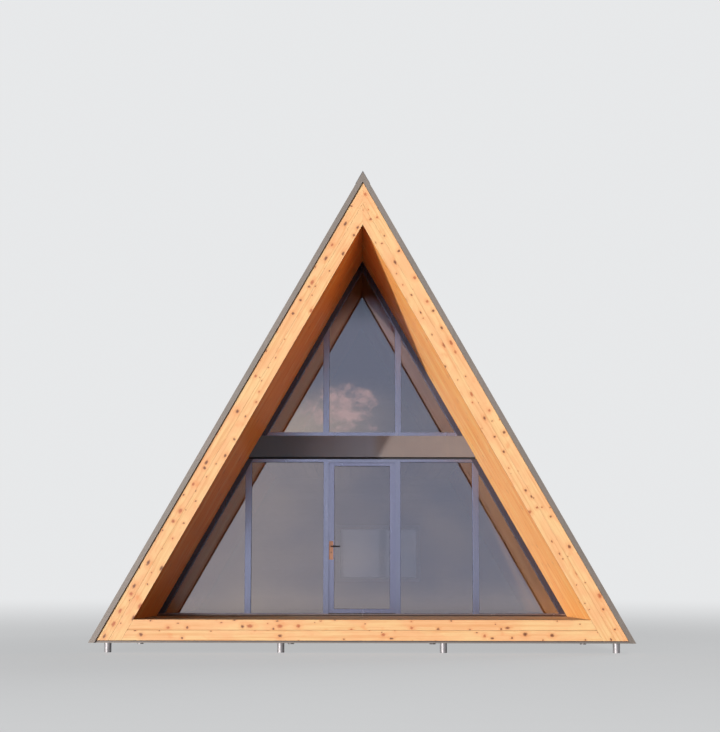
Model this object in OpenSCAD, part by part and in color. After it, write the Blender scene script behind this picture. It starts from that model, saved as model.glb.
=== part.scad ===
/* [Overall] */
// Length of the cabin from the front verge to the rear verge
cabin_len = 7800; // [7000:100:9600]
// Clear width between the two linings at floor level
room_w = 5808; // [5200:8:6400]
// Slope of both roofs above the level, in degrees
pitch = 60.4; // [57:0.1:63]
// Fitting gap between a level or upright piece and the sloping face that it meets
fit_gap = 0.05; // [0.05:0.05:1]

/* [Base] */
// Diameter of a pile
pile_d = 89; // [70:1:98]
// Height of the piles above the ground
pile_h = 120; // [80:5:400]
// Distance of the inner piles from the middle of the cabin
pile_inner_x = 1022; // [800:2:1400]
// Number of pile rows from front to rear
pile_rows = 4; // [3:1:6]
// Height of a steel base rail
base_rail_h = 30; // [20:1:50]
// Width of a steel base rail
base_rail_w = 100; // [100:5:140]
// Setback of the outer base rails behind the verge boards
base_rail_back = 4; // [0:1:20]
// Height of the timber fascia at the front and rear of the base
fascia_h = 261; // [250:1:360]
// Width of a timber floor bearer
bearer_w = 90; // [60:5:110]
// Thickness of the insulated floor cassette
cassette_t = 120; // [90:5:160]
// Thickness of the floor boards and deck boards
board_t = 27; // [20:1:34]

/* [Roof] */
// Thickness of the inner lining boards
lining_t = 20; // [12:1:30]
// Thickness of the verge and fascia boards, front to rear
verge_t = 27; // [18:1:40]
// Width of the verge boards, square to the slope
verge_w = 274; // [200:2:330]
// Distance that the verge boards reach in past the face of the lining, square to the slope
verge_reach = 24; // [0:1:40]
// Thickness of the insulated roof panels outside the lining
panel_t = 256; // [220:2:340]
// Open joint between the verge boards and the metal verge trim
verge_joint = 2; // [1:0.5:6]
// Distance that the metal verge trim stands in front of the verge boards
trim_out = 22; // [5:1:40]
// Thickness of the flat of the roof sheets
sheet_t = 8; // [4:1:12]
// Height of the standing seams above the flat of the sheets
seam_h = 32; // [20:1:45]
// Width of a standing seam
seam_w = 12; // [8:1:20]
// Distance from one standing seam to the next
seam_pitch = 470; // [300:2:600]
// Thickness of the ridge cap
cap_t = 6; // [3:1:10]
// Length of each flap of the ridge cap down the slope
cap_flap = 190; // [120:5:260]

/* [Porch and rear] */
// Depth of the porch from the front verge to the glazed wall
porch_depth = 2200; // [1000:50:2600]
// Depth of the roof behind the rear wall
rear_overhang = 300; // [150:10:600]

/* [Glazed wall] */
// Depth of the metal frames from front to rear
frame_d = 90; // [80:1:110]
// Width of the sloping frame bars, square to the slope
slope_bar_w = 68; // [40:1:80]
// Distance of the outer mullions in from the lining, taken at floor level
mullion_in = 1284; // [1150:2:1600]
// Width of the outer mullions
mullion_w = 80; // [60:1:110]
// Width of the door posts
post_w = 60; // [50:1:100]
// Width of the mullions in line with the door posts, beside the middle loft pane
loft_mullion_w = 76; // [60:1:110]
// Height of the sill bars and of the door threshold
sill_h = 33; // [25:1:50]
// Height of the head bar over the ground floor glass
head_h = 37; // [25:1:60]
// Height of the bar under the loft glass
loft_sill_h = 49; // [35:1:60]
// Thickness of a sealed glass unit
glass_t = 24; // [18:1:30]
// Setback of the fixed glass behind the face of the frames
glass_back = 33; // [20:1:40]

/* [Loft] */
// Height from the floor to the underside of the front beam
storey_h = 2260; // [2200:2:2360]
// Height of the front beam
beam_h = 305; // [220:1:340]
// Distance that the front beam stands out from the frames
beam_out = 30; // [10:1:60]
// Height of the recessed joint under the front beam
reveal_h = 30; // [15:1:45]
// Depth of the recessed joint under the front beam
reveal_d = 45; // [20:1:60]
// Thickness of the loft floor
loft_t = 200; // [140:5:210]

/* [Door] */
// Clear width between the door posts
door_w = 970; // [820:5:1040]
// Gap between the door leaf and its frame
door_gap = 8; // [6:0.5:9]
// Thickness of the door leaf
leaf_t = 64; // [56:1:68]
// Width of the upright door stiles
stile_w = 77; // [68:1:95]
// Height of the top door rail
leaf_head_h = 45; // [40:1:110]
// Height of the bottom door rail
leaf_foot_h = 56; // [45:1:110]
// Width that the frame lip stands into the doorway
lip_w = 11; // [9.5:0.5:12]
// Thickness of the frame lip
lip_t = 8; // [5:0.5:10]
// Radius of a hinge knuckle
knuckle_r = 8; // [7:0.5:9]
// Gap between a hinge knuckle and the face of the frame
knuckle_gap = 2; // [1:0.5:2.5]
// Length of one hinge knuckle
knuckle_l = 48; // [36:1:60]
// Radius of a hinge pin
pin_r = 4; // [3:0.5:5]
// Clearance round a hinge pin
pin_gap = 0.05; // [0.02:0.01:0.1]
// Width of a hinge plate
hinge_plate_w = 34; // [24:1:40]
// Thickness of a hinge plate
hinge_plate_t = 5; // [3.5:0.5:6]
// Distance of the top and bottom hinges from the ends of the door leaf
hinge_in = 220; // [150:10:320]

/* [Door handle] */
// Height of the lever above the floor
lever_up = 988; // [900:2:1100]
// Length of the lever from its spindle
lever_l = 130; // [110:1:150]
// Radius of the lever bar and its neck
lever_r = 9; // [7:0.5:11]
// Distance from the handle plate to the middle of the lever bar
lever_out = 40; // [34:1:50]
// Radius of the spindle through the door
spindle_r = 6; // [5:0.5:7]
// Clearance of the spindle and neck in their holes
spindle_gap = 1.5; // [1:0.1:2]
// Width of the handle plates
plate_w = 60; // [50:1:64]
// Height of the handle plates
plate_h = 264; // [200:2:300]
// Thickness of the handle plates
plate_t = 8; // [5:0.5:10]
// Distance from the lever up to the top of the handle plates
plate_top = 74; // [50:1:90]

/* [Rear wall] */
// Thickness of the rear wall
wall_t = 200; // [150:5:260]
// Height of the window above the floor
window_up = 510; // [300:10:700]
// Distance of the middle of the window from the middle of the cabin
window_x = 300; // [-400:10:400]
// Width of the window opening
window_w = 1520; // [900:10:1800]
// Height of the window opening
window_h = 1010; // [800:10:1250]
// Width of the window frame bars
window_bar = 70; // [45:1:90]
// Depth of the window frame
window_d = 80; // [60:1:100]

/* [Hidden] */
$fn = 48;

pine = [0.98, 0.79, 0.58];
pine_shaded = [0.86, 0.62, 0.42];
deck_brown = [0.42, 0.33, 0.27];
floor_grey = [0.55, 0.52, 0.50];
roof_grey = [0.38, 0.38, 0.40];
trim_grey = [0.58, 0.56, 0.56];
zinc = [0.76, 0.75, 0.76];
frame_lilac = [0.49, 0.50, 0.60];
beam_dark = [0.34, 0.32, 0.33];
threshold_dark = [0.22, 0.20, 0.21];
glass_tint = [0.55, 0.58, 0.62, 0.4];
copper = [0.78, 0.55, 0.41];
lever_black = [0.12, 0.11, 0.12];
wall_white = [0.82, 0.81, 0.79];
window_white = [0.88, 0.88, 0.88];

// Levels, up from the ground
base_z = pile_h + base_rail_h;
floor_z = base_z + fascia_h;
bearer_top = floor_z - board_t - cassette_t;
beam_z = floor_z + storey_h;
loft_z = beam_z + beam_h;
head_top = beam_z - reveal_h;
head_z = head_top - head_h;
sill_top = floor_z + sill_h;
loft_sill_top = loft_z + loft_sill_h;
leaf_z = sill_top + door_gap;
leaf_top = head_z - door_gap;
lever_z = floor_z + lever_up;
window_z = floor_z + window_up;
window_top = window_z + window_h;

// Distances square to the slope, out from the face of the lining
panel_out = lining_t + panel_t;
sheet_out = panel_out + sheet_t;
seam_out = sheet_out + seam_h;
cap_out = seam_out + cap_t;
verge_out = verge_w - verge_reach;
trim_in = verge_out + verge_joint;

// Places from front to rear
front_y = -cabin_len / 2;
rear_y = cabin_len / 2;
board_front = front_y + trim_out;
board_rear = rear_y - trim_out;
core_front = board_front + verge_t;
core_rear = board_rear - verge_t;
rail_y = board_front + base_rail_back;
frame_y = front_y + porch_depth;
frame_back = frame_y + frame_d;
glass_y = frame_y + glass_back;
wall_back = rear_y - rear_overhang;
wall_y = wall_back - wall_t;
leaf_y = frame_back - leaf_t;
pane_y = frame_back - leaf_t / 2 - glass_t / 2;
window_y = wall_y + wall_t / 2 - window_d / 2;
rail_step = (board_rear - base_rail_back - base_rail_w - rail_y) / (pile_rows - 1);

// Widths across the cabin
half_w = room_w / 2;
mullion_x = half_w - mullion_in;
post_x = door_w / 2;
leaf_x = post_x - door_gap;
stile_x = leaf_x - stile_w;
spindle_x = -leaf_x + stile_w / 2;
loft_inner_x = post_x + post_w / 2 - loft_mullion_w / 2;
hinge_x = post_x - door_gap / 2;
hinge_y = frame_back + knuckle_r + knuckle_gap;

// Open joint between pieces of one node, and the overrun of a drilled hole
joint = 1;

// Half the width at height z of the surface that lies off outside the lining
function slope_x(off, z) = half_w + (floor_z - z) / tan(pitch) + off / sin(pitch);

// Height at distance x from the middle of the surface that lies off outside the lining
function slope_z(off, x) = floor_z + (half_w - x) * tan(pitch) + off / cos(pitch);

// Carries an outline drawn in width and height from y = a to y = b
module across(a, b) {
  translate([0, b, 0])
    rotate([90, 0, 0])
      linear_extrude(height = b - a)
        children();
}

// Both the right-hand shape and its mirror image on the left
module both_sides() {
  children();
  mirror([1, 0, 0]) children();
}

// Outline of one roof layer on the right, from height low up to the ridge
module layer(inner, outer, low) {
  polygon([
    [slope_x(inner, low), low],
    [slope_x(outer, low), low],
    [0, slope_z(outer, 0)],
    [0, slope_z(inner, 0)]
  ]);
}

// Outline from slope to slope between two heights
module span(off, low, high) {
  polygon([
    [-slope_x(off, low), low],
    [slope_x(off, low), low],
    [slope_x(off, high), high],
    [-slope_x(off, high), high]
  ]);
}

// Outline from slope to slope, from one height up to the ridge
module gable(off, low) {
  polygon([[-slope_x(off, low), low], [slope_x(off, low), low], [0, slope_z(off, 0)]]);
}

// Rectangle in width and height, kept under the sloping frame bars
module under_bars(x1, x2, low, high) {
  intersection() {
    gable(-slope_bar_w - fit_gap, floor_z);
    translate([x1, low]) square([x2 - x1, high - low]);
  }
}

module box(x1, x2, y1, y2, z1, z2) {
  translate([x1, y1, z1]) cube([x2 - x1, y2 - y1, z2 - z1]);
}

// Two inner piles and one under the foot of each roof in every row
module piles() {
  pile_outer_x = slope_x(verge_out / 2, base_z);
  color(zinc)
    for (row = [0 : pile_rows - 1], side = [-1, 1], out = [pile_inner_x, pile_outer_x])
      translate([side * out, rail_y + base_rail_w / 2 + row * rail_step, 0])
        cylinder(d = pile_d, h = pile_h);
}

module base_rails() {
  color(trim_grey)
    for (row = [0 : pile_rows - 1])
      translate([0, rail_y + row * rail_step, 0])
        across(0, base_rail_w)
          span(verge_out, pile_h, base_z);
}

module floor_bearers() {
  bearer_step = (core_rear - core_front - bearer_w) / (pile_rows - 1);
  color(pine_shaded)
    for (row = [0 : pile_rows - 1])
      translate([0, core_front + row * bearer_step, 0])
        across(0, bearer_w)
          span(-fit_gap, base_z, bearer_top);
}

module floor_cassette() {
  color(pine_shaded)
    across(core_front, core_rear)
      span(-fit_gap, bearer_top, floor_z - board_t);
}

module room_floor() {
  color(floor_grey)
    across(frame_y, wall_back)
      span(-fit_gap, floor_z - board_t, floor_z);
}

// Boards of the porch and of the narrow ledge behind the rear wall
module porch_deck() {
  color(deck_brown) {
    across(core_front, frame_y) span(-fit_gap, floor_z - board_t, floor_z);
    across(wall_back, core_rear) span(-fit_gap, floor_z - board_t, floor_z);
  }
}

module front_fascia() {
  color(pine)
    across(board_front, core_front)
      span(-verge_reach - fit_gap, base_z, floor_z);
}

module rear_fascia() {
  color(pine)
    across(core_rear, board_rear)
      span(-verge_reach - fit_gap, base_z, floor_z);
}

module lining() {
  color(pine_shaded)
    across(core_front, core_rear)
      layer(0, lining_t, base_z);
}

module lining_left() {
  mirror([1, 0, 0]) lining();
}

module lining_right() {
  lining();
}

module roof_panel() {
  color(pine_shaded)
    across(core_front, core_rear)
      layer(lining_t, panel_out, base_z);
}

module roof_panel_left() {
  mirror([1, 0, 0]) roof_panel();
}

module roof_panel_right() {
  roof_panel();
}

// Flat sheets with the standing seams folded up from them
module roof_sheet() {
  side_run = core_rear - seam_w;
  seams = floor(side_run / seam_pitch);
  color(roof_grey) {
    across(core_front, core_rear) layer(panel_out, sheet_out, base_z);
    for (seam = [-seams : seams])
      translate([0, seam * seam_pitch, 0])
        across(-seam_w / 2, seam_w / 2)
          layer(panel_out, seam_out, base_z);
  }
}

module roof_sheet_left() {
  mirror([1, 0, 0]) roof_sheet();
}

module roof_sheet_right() {
  roof_sheet();
}

module ridge_cap() {
  foot = cap_flap * cos(pitch);
  under = seam_out + fit_gap;
  color(roof_grey)
    across(front_y, rear_y)
      polygon([
        [-foot, slope_z(under, foot)],
        [0, slope_z(under, 0)],
        [foot, slope_z(under, foot)],
        [foot, slope_z(cap_out, foot)],
        [0, slope_z(cap_out, 0)],
        [-foot, slope_z(cap_out, foot)]
      ]);
}

// Boards on the front and rear ends of one roof
module verge_boards() {
  color(pine) {
    across(board_front, core_front) layer(-verge_reach, verge_out, base_z);
    across(core_rear, board_rear) layer(-verge_reach, verge_out, base_z);
  }
}

module verge_boards_left() {
  mirror([1, 0, 0]) verge_boards();
}

module verge_boards_right() {
  verge_boards();
}

// Metal edging outside the verge boards at the front and rear of one roof
module verge_trim() {
  color(trim_grey) {
    across(front_y, core_front) layer(trim_in, seam_out, base_z);
    across(core_rear, rear_y) layer(trim_in, seam_out, base_z);
  }
}

module verge_trim_left() {
  mirror([1, 0, 0]) verge_trim();
}

module verge_trim_right() {
  verge_trim();
}

// Drip trims that close the lower edges of both roofs
module eaves_trims() {
  color(trim_grey)
    both_sides()
      across(front_y, rear_y)
        polygon([
          [slope_x(verge_out, pile_h), pile_h],
          [slope_x(seam_out, pile_h), pile_h],
          [slope_x(seam_out, base_z), base_z],
          [slope_x(verge_out, base_z), base_z]
        ]);
}

// Beam across the front at loft level, with a recessed joint under it
module front_beam() {
  color(beam_dark) {
    across(frame_y - beam_out, frame_back) span(-fit_gap, beam_z, loft_z);
    across(frame_y + reveal_d, frame_back) span(-fit_gap, head_top, beam_z);
  }
}

module loft_floor() {
  color(pine_shaded)
    across(frame_back, wall_y)
      span(-fit_gap, loft_z - loft_t, loft_z);
}

// Sloping frame bars of the ground floor and of the loft
module slope_bars() {
  color(frame_lilac)
    both_sides()
      across(frame_y, frame_back) {
        polygon([
          [slope_x(-slope_bar_w, floor_z), floor_z],
          [slope_x(-fit_gap, floor_z), floor_z],
          [slope_x(-fit_gap, head_top), head_top],
          [slope_x(-slope_bar_w, head_top), head_top]
        ]);
        polygon([
          [slope_x(-slope_bar_w, loft_z), loft_z],
          [slope_x(-fit_gap, loft_z), loft_z],
          [joint / 2, slope_z(-fit_gap, joint / 2)],
          [joint / 2, slope_z(-slope_bar_w, joint / 2)]
        ]);
      }
}

// Upright bars between the panes
module mullions() {
  color(frame_lilac)
    both_sides()
      across(frame_y, frame_back) {
        under_bars(mullion_x - mullion_w / 2, mullion_x + mullion_w / 2, sill_top, head_z);
        under_bars(loft_inner_x, loft_inner_x + loft_mullion_w, loft_sill_top, slope_z(0, 0));
      }
}

// Level bars: both sills, the head over them and the bar under the loft glass
module glazing_rails() {
  color(frame_lilac)
    across(frame_y, frame_back) {
      under_bars(post_x + post_w, half_w, floor_z, sill_top);
      under_bars(-half_w, -post_x - post_w, floor_z, sill_top);
      under_bars(-half_w, half_w, head_z, head_top);
      under_bars(-half_w, half_w, loft_z, loft_sill_top);
    }
}

module lower_glass() {
  color(glass_tint)
    both_sides()
      across(glass_y, glass_y + glass_t) {
        under_bars(post_x + post_w, mullion_x - mullion_w / 2, sill_top, head_z);
        under_bars(mullion_x + mullion_w / 2, half_w, sill_top, head_z);
      }
}

module upper_glass() {
  color(glass_tint)
    across(glass_y, glass_y + glass_t) {
      under_bars(-loft_inner_x, loft_inner_x, loft_sill_top, slope_z(0, 0));
      under_bars(loft_inner_x + loft_mullion_w, half_w, loft_sill_top, slope_z(0, 0));
      under_bars(-half_w, -loft_inner_x - loft_mullion_w, loft_sill_top, slope_z(0, 0));
    }
}

module door_posts() {
  color(frame_lilac)
    both_sides()
      box(post_x, post_x + post_w, frame_y, frame_back, floor_z, head_z);
}

module door_threshold() {
  color(threshold_dark)
    box(-post_x, post_x, frame_y, frame_back, floor_z, sill_top);
}

// Thin lips at the face of the frame that cover the gap round the door leaf
module door_lips() {
  color(frame_lilac) {
    both_sides()
      box(post_x - lip_w, post_x, frame_y, frame_y + lip_t, sill_top, head_z);
    box(joint + lip_w - post_x, post_x - lip_w - joint, frame_y, frame_y + lip_t,
      head_z - lip_w, head_z);
  }
}

// Puts a copy at each hinge, on the axis that the door turns about
module at_hinges() {
  for (z = [leaf_z + hinge_in, (leaf_z + leaf_top) / 2, leaf_top - hinge_in])
    translate([hinge_x, hinge_y, z]) children();
}

// Fixed half of each hinge: the pin, the lower knuckle and its plate on the post
module hinge_pins() {
  color(frame_lilac)
    at_hinges() {
      translate([0, 0, -knuckle_l]) cylinder(r = knuckle_r, h = knuckle_l);
      cylinder(r = pin_r, h = knuckle_l + joint);
      box(door_gap / 2, hinge_plate_w, frame_back - hinge_y,
        frame_back - hinge_y + hinge_plate_t, -knuckle_l, 0);
    }
}

// Moving half of each hinge: the upper knuckle and its plate on the stile
module hinge_knuckles() {
  color(frame_lilac)
    at_hinges()
      translate([0, 0, joint])
        difference() {
          union() {
            cylinder(r = knuckle_r, h = knuckle_l);
            box(-hinge_plate_w, -door_gap / 2, frame_back - hinge_y,
              frame_back - hinge_y + hinge_plate_t, 0, knuckle_l);
          }
          translate([0, 0, -joint]) cylinder(r = pin_r + pin_gap, h = knuckle_l + 2 * joint);
        }
}

// Puts a copy on the spindle's axis, with z running from front to rear
module at_spindle(y) {
  translate([spindle_x, y, lever_z]) rotate([-90, 0, 0]) children();
}

module door_stiles() {
  color(frame_lilac)
    difference() {
      both_sides()
        box(stile_x, leaf_x, leaf_y, frame_back, leaf_z, leaf_top);
      at_spindle(leaf_y - joint) cylinder(r = spindle_r + spindle_gap, h = leaf_t + 2 * joint);
    }
}

module door_rails() {
  color(frame_lilac) {
    box(-stile_x, stile_x, leaf_y, frame_back, leaf_z, leaf_z + leaf_foot_h);
    box(-stile_x, stile_x, leaf_y, frame_back, leaf_top - leaf_head_h, leaf_top);
  }
}

module door_glass() {
  color(glass_tint)
    box(-stile_x, stile_x, pane_y, pane_y + glass_t, leaf_z + leaf_foot_h, leaf_top - leaf_head_h);
}

// One plate on each face of the left stile
module handle_plates() {
  color(copper)
    for (y = [leaf_y - plate_t, frame_back])
      difference() {
        box(spindle_x - plate_w / 2, spindle_x + plate_w / 2, y, y + plate_t,
          lever_z + plate_top - plate_h, lever_z + plate_top);
        at_spindle(y - joint) cylinder(r = lever_r + spindle_gap, h = plate_t + 2 * joint);
      }
}

// Both levers, on one spindle through the door
module door_lever() {
  reach = leaf_t / 2 + plate_t + lever_out;
  neck = lever_out + plate_t - joint;
  color(lever_black) {
    at_spindle(leaf_y + leaf_t / 2 - reach) cylinder(r = spindle_r, h = 2 * reach);
    for (side = [-1, 1])
      translate([spindle_x, leaf_y + leaf_t / 2 + side * reach, lever_z]) {
        sphere(r = lever_r);
        rotate([side * 90, 0, 0]) cylinder(r = lever_r, h = neck);
        rotate([0, 90, 0]) cylinder(r = lever_r, h = lever_l - lever_r);
        translate([lever_l - lever_r, 0, 0]) sphere(r = lever_r);
      }
  }
}

// Wall on both sides of the window
module rear_wall_sides() {
  right_x = window_x + window_w / 2;
  left_x = window_x - window_w / 2;
  color(wall_white)
    across(wall_y, wall_back) {
      polygon([
        [right_x, window_z],
        [slope_x(-fit_gap, window_z), window_z],
        [slope_x(-fit_gap, window_top), window_top],
        [right_x, window_top]
      ]);
      polygon([
        [left_x, window_z],
        [-slope_x(-fit_gap, window_z), window_z],
        [-slope_x(-fit_gap, window_top), window_top],
        [left_x, window_top]
      ]);
    }
}

module rear_wall_under() {
  color(wall_white)
    across(wall_y, wall_back)
      span(-fit_gap, floor_z, window_z);
}

module rear_wall_over() {
  color(wall_white)
    across(wall_y, wall_back)
      gable(-fit_gap, window_top);
}

module window_stiles() {
  color(window_white)
    for (side = [-1, 1])
      translate([window_x + side * (window_w - window_bar) / 2, 0, 0])
        box(-window_bar / 2, window_bar / 2, window_y, window_y + window_d, window_z, window_top);
}

module window_rails() {
  half_rail = window_w / 2 - window_bar;
  color(window_white)
    for (z = [window_z, window_top - window_bar])
      box(window_x - half_rail, window_x + half_rail, window_y, window_y + window_d,
        z, z + window_bar);
}

module window_glass() {
  half_pane = window_w / 2 - window_bar;
  middle = window_y + window_d / 2;
  color(glass_tint)
    box(window_x - half_pane, window_x + half_pane, middle - glass_t / 2, middle + glass_t / 2,
      window_z + window_bar, window_top - window_bar);
}

piles();
base_rails();
floor_bearers();
floor_cassette();
room_floor();
porch_deck();
front_fascia();
rear_fascia();
lining_left();
lining_right();
roof_panel_left();
roof_panel_right();
roof_sheet_left();
roof_sheet_right();
ridge_cap();
verge_boards_left();
verge_boards_right();
verge_trim_left();
verge_trim_right();
eaves_trims();
front_beam();
loft_floor();
slope_bars();
mullions();
glazing_rails();
lower_glass();
upper_glass();
door_posts();
door_threshold();
door_lips();
hinge_pins();
door_stiles();
door_rails();
door_glass();
hinge_knuckles();
handle_plates();
door_lever();
rear_wall_sides();
rear_wall_under();
rear_wall_over();
window_stiles();
window_rails();
window_glass();
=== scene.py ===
import math

import bpy
import numpy as np
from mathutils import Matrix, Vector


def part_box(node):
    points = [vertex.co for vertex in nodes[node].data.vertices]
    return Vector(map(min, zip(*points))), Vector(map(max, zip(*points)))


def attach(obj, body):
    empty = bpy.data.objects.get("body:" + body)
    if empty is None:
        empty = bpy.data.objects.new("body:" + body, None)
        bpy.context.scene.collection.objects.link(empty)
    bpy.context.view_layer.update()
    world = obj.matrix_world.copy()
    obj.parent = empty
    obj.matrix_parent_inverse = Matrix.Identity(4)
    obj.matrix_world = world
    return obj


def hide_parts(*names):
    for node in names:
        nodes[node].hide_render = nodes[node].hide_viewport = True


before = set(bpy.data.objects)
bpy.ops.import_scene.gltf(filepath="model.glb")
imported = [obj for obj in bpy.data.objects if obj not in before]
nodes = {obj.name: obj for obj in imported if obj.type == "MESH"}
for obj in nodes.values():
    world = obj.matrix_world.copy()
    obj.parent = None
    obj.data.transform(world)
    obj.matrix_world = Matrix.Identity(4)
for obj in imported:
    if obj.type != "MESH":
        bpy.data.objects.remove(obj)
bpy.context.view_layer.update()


def nodeBox(name):
    # a node's lowest and highest corners, to a hundredth of a millimetre
    return [[round(value, 5) for value in corner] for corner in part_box(name)]


# The cabin's own sizes in metres, from the boxes of the CAD nodes or the same as in the CAD part.
# Y runs from the porch to the rear. A layer of the roof lies so far off the lining's inner face,
# measured at right angles to the roof, and outwards is positive.
fasciaLow, fasciaHigh = nodeBox("front_fascia")
paneLow, paneHigh = nodeBox("lower_glass")
mullionLow, mullionHigh = nodeBox("mullions")
cabin = {
    "boardY": -fasciaLow[1], "coreY": -fasciaHigh[1], "baseZ": fasciaLow[2],
    "floorZ": fasciaHigh[2], "glazingY": mullionLow[1], "wallBackY": nodeBox("rear_wall_sides")[1][1],
    "sillTopZ": paneLow[2], "headZ": paneHigh[2], "loftSillTopZ": nodeBox("upper_glass")[0][2],
    "postOuterX": nodeBox("door_posts")[1][0], "mullionOuterX": mullionHigh[0],
    "mullionWide": 0.08, "loftMullionX": 0.477, "loftMullionWide": 0.076,
    "halfRoom": 2.904, "pitch": math.radians(60.4), "liningThick": 0.02, "vergeIn": -0.024,
    "vergeOut": 0.25, "slopeBar": 0.068, "capOut": 0.322,
}


def slopeX(off, z):
    # half the width at height z of the roof layer that lies so far off: half the room's width at
    # the floor, less the height above it over tan(pitch), plus off over sin(pitch)
    return (cabin["halfRoom"] + (cabin["floorZ"] - z) / math.tan(cabin["pitch"])
            + off / math.sin(cabin["pitch"]))


def slopeZ(off, x):
    # height of that layer at distance x from the middle
    return (cabin["floorZ"] + (cabin["halfRoom"] - x) * math.tan(cabin["pitch"])
            + off / math.cos(cabin["pitch"]))


alongX, alongY, alongZ = np.eye(3)
upRight = -math.cos(cabin["pitch"]) * alongX + math.sin(cabin["pitch"]) * alongZ
upLeft = upRight * (-1, 1, 1)
roofSides = (("left", -1, upLeft), ("right", 1, upRight))

camera = {
    "place": (-0.033, -20.982, 0.82), "tiltUp": 5.0, "turn": -0.017, "roll": -0.093,
    "lens": 66.62, "sensor": 36, "riseOfFrame": 0.1402, "farthest": 400,
}


def placeCamera(look):
    data = bpy.data.cameras.new("camera")
    data.lens = look["lens"]
    data.sensor_width = look["sensor"]
    data.shift_y = look["riseOfFrame"]
    data.clip_end = look["farthest"]
    holder = bpy.data.objects.new("camera", data)
    holder.location = look["place"]
    holder.rotation_euler = np.radians([90 + look["tiltUp"], look["roll"], look["turn"]])
    bpy.context.scene.collection.objects.link(holder)
    bpy.context.scene.camera = holder


placeCamera(camera)
print("camera placed")


def paint(red, green, blue):
    # screen colour, 0 to 255, turned into the linear colour that a shader takes
    screen = np.array([red, green, blue]) / 255
    linear = np.where(screen <= 0.04045, screen / 12.92, ((screen + 0.055) / 1.055) ** 2.4)
    return (*linear.tolist(), 1.0)


class Wire:
    # one output socket of a shader; arithmetic on wires adds Math nodes
    def __init__(self, finish, socket):
        self.finish = finish
        self.socket = socket

    def other(self, name):
        # another output of the same node
        return Wire(self.finish, self.socket.node.outputs[name])

    def __add__(self, value):
        return self.finish.math("ADD", self, value)

    def __radd__(self, value):
        return self.finish.math("ADD", value, self)

    def __sub__(self, value):
        return self.finish.math("SUBTRACT", self, value)

    def __rsub__(self, value):
        return self.finish.math("SUBTRACT", value, self)

    def __mul__(self, value):
        return self.finish.math("MULTIPLY", self, value)

    def __rmul__(self, value):
        return self.finish.math("MULTIPLY", value, self)

    def __truediv__(self, value):
        return self.finish.math("DIVIDE", self, value)


class Finish:
    # the shader tree of one material, or of the world
    def __init__(self, owner):
        self.owner = owner
        owner.use_nodes = True
        self.tree = owner.node_tree
        self.tree.nodes.clear()

    def node(self, kind, settings, sockets, output=0):
        # the settings are made first, and then each socket gets its value or its link
        made = self.tree.nodes.new(kind)
        for name, value in settings.items():
            setattr(made, name, value)
        for name, value in sockets.items():
            if isinstance(value, Wire):
                self.tree.links.new(value.socket, made.inputs[name])
            else:
                made.inputs[name].default_value = value
        return Wire(self, made.outputs[output] if made.outputs else None)

    def math(self, operation, first, second=0.0):
        return self.node("ShaderNodeMath", {"operation": operation}, {0: first, 1: second})

    def point(self, x, y, z):
        return self.node("ShaderNodeCombineXYZ", {}, {0: x, 1: y, 2: z})

    def split(self, vector):
        x = self.node("ShaderNodeSeparateXYZ", {}, {0: vector})
        return x, x.other("Y"), x.other("Z")

    def splitColour(self, colour):
        red = self.node("ShaderNodeSeparateColor", {}, {0: colour})
        return red, red.other("Green"), red.other("Blue")

    def length(self, vector):
        return self.node("ShaderNodeVectorMath", {"operation": "LENGTH"}, {0: vector}, "Value")

    def place(self):
        # the three Object coordinates
        return self.split(self.node("ShaderNodeTexCoord", {}, {}, "Object"))

    def waves(self, places, scales, shift=0.0):
        # three coordinates, each times its own scale in waves a metre, and the first one shifted
        x, y, z = (place * scale for place, scale in zip(places, scales))
        return self.point(x + shift, y, z)

    def noise(self, vector, detail=3.0, roughness=0.5, distortion=0.0):
        return self.node("ShaderNodeTexNoise", {}, {
            "Vector": vector, "Scale": 1.0, "Detail": detail, "Roughness": roughness,
            "Distortion": distortion})

    def chance(self, number):
        # one random number from 0 to 1 for each whole number
        return self.node("ShaderNodeTexWhiteNoise", {"noise_dimensions": "1D"}, {"W": number + 0.5})

    def step(self, value, low, high):
        # smooth change from 0 at low to 1 at high; low may be the greater of the two
        return self.node("ShaderNodeMapRange", {"interpolation_type": "SMOOTHSTEP"}, {
            "Value": value, "From Min": low, "From Max": high})

    def mix(self, share, first, second):
        return self.node("ShaderNodeMix", {"data_type": "RGBA"}, {0: share, 6: first, 7: second}, 2)

    def bump(self, height, strength, depth):
        return self.node("ShaderNodeBump", {}, {
            "Height": height, "Strength": strength, "Distance": depth})

    def surroundings(self):
        # 1 for a ray from the camera, off a glossy surface or through glass, and 0 for light on
        # matt things, also where that light comes by way of the glass
        rays = self.node("ShaderNodeLightPath", {}, {}, "Is Camera Ray")
        glossy, through = rays.other("Is Glossy Ray"), rays.other("Is Transmission Ray")
        seen = self.math("MAXIMUM", rays, self.math("MAXIMUM", glossy, through))
        return seen * self.math("LESS_THAN", rays.other("Diffuse Depth"), 0.5)

    def end(self, kind, shader):
        self.node(kind, {}, {0: shader})
        return self.owner

    def close(self, sockets):
        shader = self.node("ShaderNodeBsdfPrincipled", {}, sockets)
        return self.end("ShaderNodeOutputMaterial", shader)


def newFinish(name):
    return Finish(bpy.data.materials.new(name))


# Each board's u starts boardStep after the one before, so that its number can be read back
boardStep = 20.0
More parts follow.
